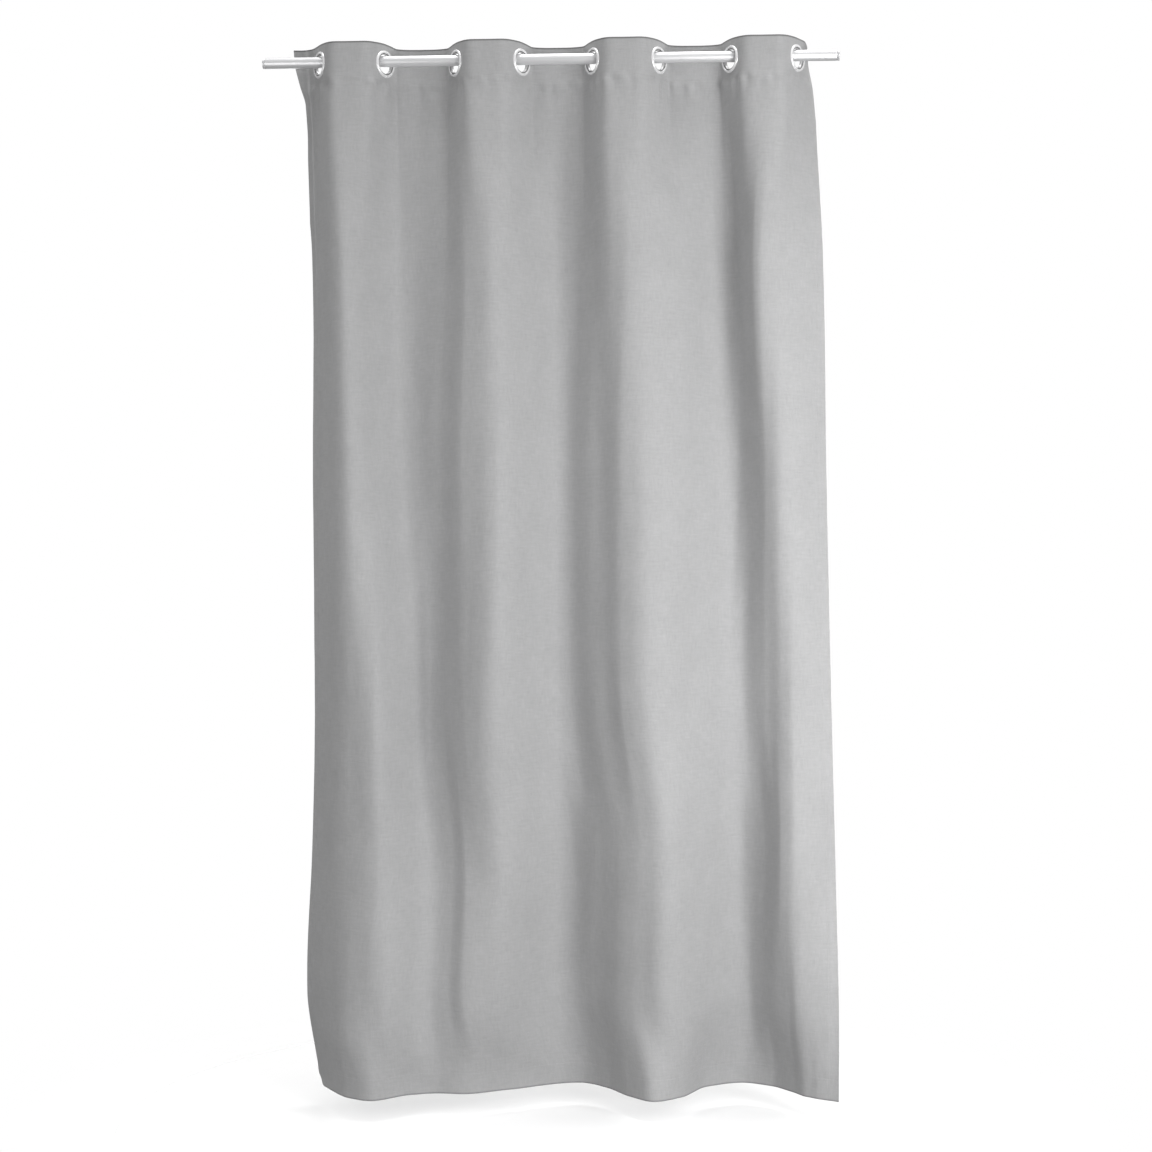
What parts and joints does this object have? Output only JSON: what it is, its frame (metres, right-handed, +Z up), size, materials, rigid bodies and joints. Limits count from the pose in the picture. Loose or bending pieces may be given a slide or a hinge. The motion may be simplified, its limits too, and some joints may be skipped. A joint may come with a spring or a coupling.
{
  "type": "curtain panel",
  "caption": "Grey linen-look curtain panel with round metal eyelets, hung in soft vertical folds on a slim round rod along which it slides and gathers.",
  "frame": {"origin": "on the rod's axis at mid-length, at the mount rod_support", "axes": "+X along the rod to the right seen from the front, -Y out of the curtain's front, +Z up"},
  "size_m": [1.322, 0.2115, 2.4],
  "materials": {
    "grey_linen": "matte plain weave with slubs, mid grey",
    "heading_tape": "stiff off-white tape",
    "polished_nickel": "polished",
    "brushed_steel": "satin",
    "rod_cap": "satin"
  },
  "bodies": {
    "rod": {"rod_tube": "brushed_steel", "rod_cap_left": "rod_cap", "rod_cap_right": "rod_cap"},
    "eyelet_1": {"eyelet_front_1": "polished_nickel", "eyelet_back_1": "polished_nickel", "panel_1": "grey_linen", "heading_tape_1": "heading_tape", "heading_facing_1": "grey_linen", "bottom_hem_1": "grey_linen", "side_hem_left": "grey_linen"},
    "eyelet_2": {"eyelet_front_2": "polished_nickel", "eyelet_back_2": "polished_nickel", "panel_2": "grey_linen", "heading_tape_2": "heading_tape", "heading_facing_2": "grey_linen", "bottom_hem_2": "grey_linen"},
    "eyelet_3": {"eyelet_front_3": "polished_nickel", "eyelet_back_3": "polished_nickel", "panel_3": "grey_linen", "heading_tape_3": "heading_tape", "heading_facing_3": "grey_linen", "bottom_hem_3": "grey_linen"},
    "eyelet_4": {"eyelet_front_4": "polished_nickel", "eyelet_back_4": "polished_nickel", "panel_4": "grey_linen", "heading_tape_4": "heading_tape", "heading_facing_4": "grey_linen", "bottom_hem_4": "grey_linen"},
    "eyelet_5": {"eyelet_front_5": "polished_nickel", "eyelet_back_5": "polished_nickel", "panel_5": "grey_linen", "heading_tape_5": "heading_tape", "heading_facing_5": "grey_linen", "bottom_hem_5": "grey_linen"},
    "eyelet_6": {"eyelet_front_6": "polished_nickel", "eyelet_back_6": "polished_nickel", "panel_6": "grey_linen", "heading_tape_6": "heading_tape", "heading_facing_6": "grey_linen", "bottom_hem_6": "grey_linen"},
    "eyelet_7": {"eyelet_front_7": "polished_nickel", "eyelet_back_7": "polished_nickel", "panel_7": "grey_linen", "heading_tape_7": "heading_tape", "heading_facing_7": "grey_linen", "bottom_hem_7": "grey_linen"},
    "eyelet_8": {"eyelet_front_8": "polished_nickel", "eyelet_back_8": "polished_nickel", "panel_8": "grey_linen", "heading_tape_8": "heading_tape", "heading_facing_8": "grey_linen", "bottom_hem_8": "grey_linen", "side_hem_right": "grey_linen"}
  },
  "joints": [
    {"name": "panel_slide", "type": "slide", "parent": "rod", "child": "eyelet_1", "axis": [1, 0, 0], "range_m": [-0.07, 0.06]},
    {"name": "gather", "type": "slide", "parent": "eyelet_1", "child": "eyelet_2", "axis": [1, 0, 0], "range_m": [-0.085, 0], "deforming": ["panel_1", "heading_tape_1", "heading_facing_1", "bottom_hem_1", "side_hem_left", "panel_2", "heading_tape_2", "heading_facing_2", "bottom_hem_2"]},
    {"name": "eyelet_3_slide", "type": "slide", "parent": "eyelet_2", "child": "eyelet_3", "axis": [1, 0, 0], "range_m": [-0.092, 0], "deforming": ["panel_3", "heading_tape_3", "heading_facing_3", "bottom_hem_3"]},
    {"name": "eyelet_4_slide", "type": "slide", "parent": "eyelet_3", "child": "eyelet_4", "axis": [1, 0, 0], "range_m": [-0.085, 0], "deforming": ["panel_4", "heading_tape_4", "heading_facing_4", "bottom_hem_4"]},
    {"name": "eyelet_5_slide", "type": "slide", "parent": "eyelet_4", "child": "eyelet_5", "axis": [1, 0, 0], "range_m": [-0.092, 0], "deforming": ["panel_5", "heading_tape_5", "heading_facing_5", "bottom_hem_5"]},
    {"name": "eyelet_6_slide", "type": "slide", "parent": "eyelet_5", "child": "eyelet_6", "axis": [1, 0, 0], "range_m": [-0.085, 0], "deforming": ["panel_6", "heading_tape_6", "heading_facing_6", "bottom_hem_6"]},
    {"name": "eyelet_7_slide", "type": "slide", "parent": "eyelet_6", "child": "eyelet_7", "axis": [1, 0, 0], "range_m": [-0.092, 0], "deforming": ["panel_7", "heading_tape_7", "heading_facing_7", "bottom_hem_7"]},
    {"name": "eyelet_8_slide", "type": "slide", "parent": "eyelet_7", "child": "eyelet_8", "axis": [1, 0, 0], "range_m": [-0.085, 0], "deforming": ["panel_8", "heading_tape_8", "heading_facing_8", "bottom_hem_8", "side_hem_right"]}
  ],
  "couplings": [
    {"joint": "eyelet_3_slide", "follows": "gather", "ratio": 1.079},
    {"joint": "eyelet_4_slide", "follows": "gather", "ratio": 1},
    {"joint": "eyelet_5_slide", "follows": "gather", "ratio": 1.079},
    {"joint": "eyelet_6_slide", "follows": "gather", "ratio": 1},
    {"joint": "eyelet_7_slide", "follows": "gather", "ratio": 1.079},
    {"joint": "eyelet_8_slide", "follows": "gather", "ratio": 1}
  ]
}
